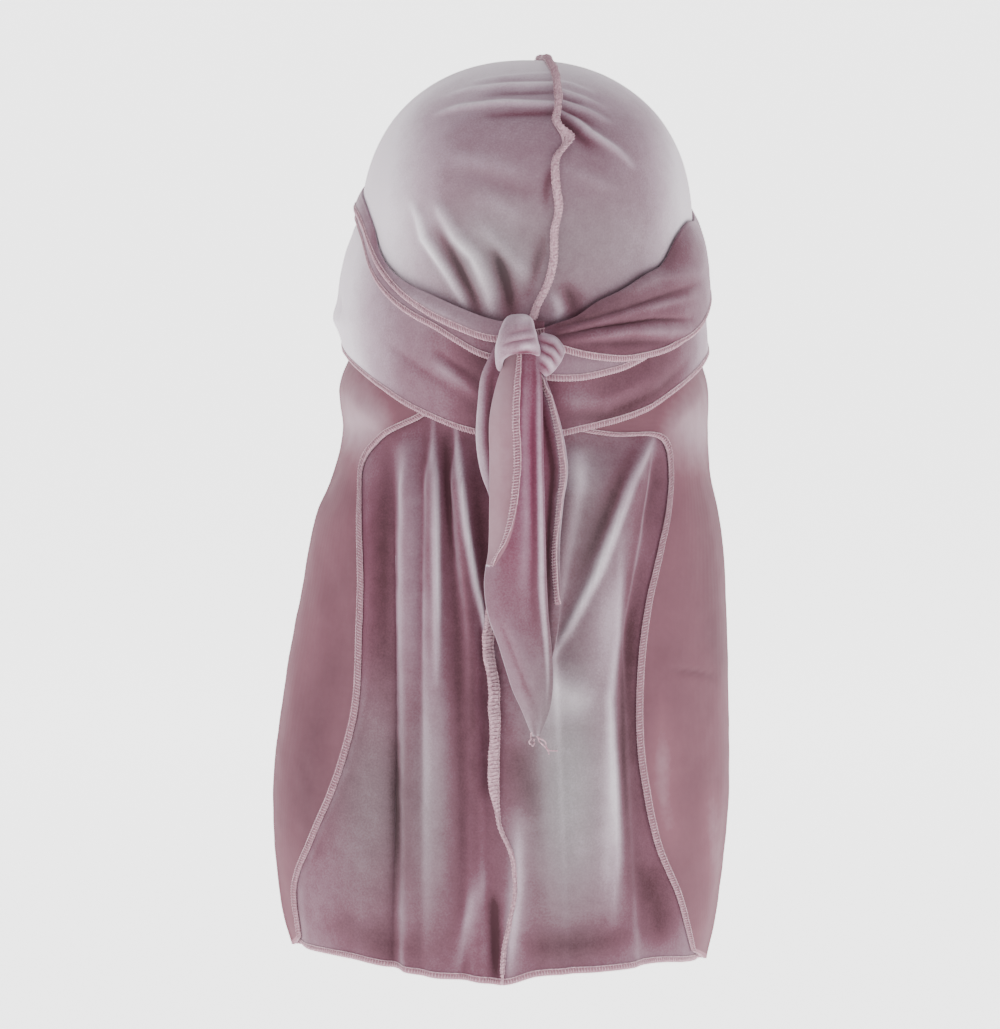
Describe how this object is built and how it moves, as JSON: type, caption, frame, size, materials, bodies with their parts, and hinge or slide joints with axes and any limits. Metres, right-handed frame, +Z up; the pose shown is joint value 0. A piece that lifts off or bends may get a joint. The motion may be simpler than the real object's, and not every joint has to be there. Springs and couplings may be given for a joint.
{
  "type": "durag",
  "caption": "Velvet durag as worn: a seamed cap, long straps crossed round the head and knotted at the back, and a pleated cape with its side edges folded back.",
  "frame": {"origin": "the inside of the cap at the top of the head, where it sits", "axes": "+Z up, +Y towards the wearer's face, +X towards the wearer's right, which is the picture's right"},
  "size_m": [0.2172, 0.2223, 0.4342],
  "materials": {
    "velvet": "dusty mauve velvet with a silvery nap",
    "seam": "overlocked seam in pale pink thread"
  },
  "bodies": {
    "root": {"crown_left": "velvet", "crown_right": "velvet", "crown_seam": "seam", "cape_left": "velvet", "cape_right": "velvet", "cape_seam": "seam", "strap_right": "velvet", "strap_left": "velvet", "strap_left_ply": "velvet", "strap_right_ply": "velvet", "knot_loop": "velvet", "knot_tuck": "velvet", "tail_front": "velvet", "tail_back": "velvet"}
  },
  "joints": []
}
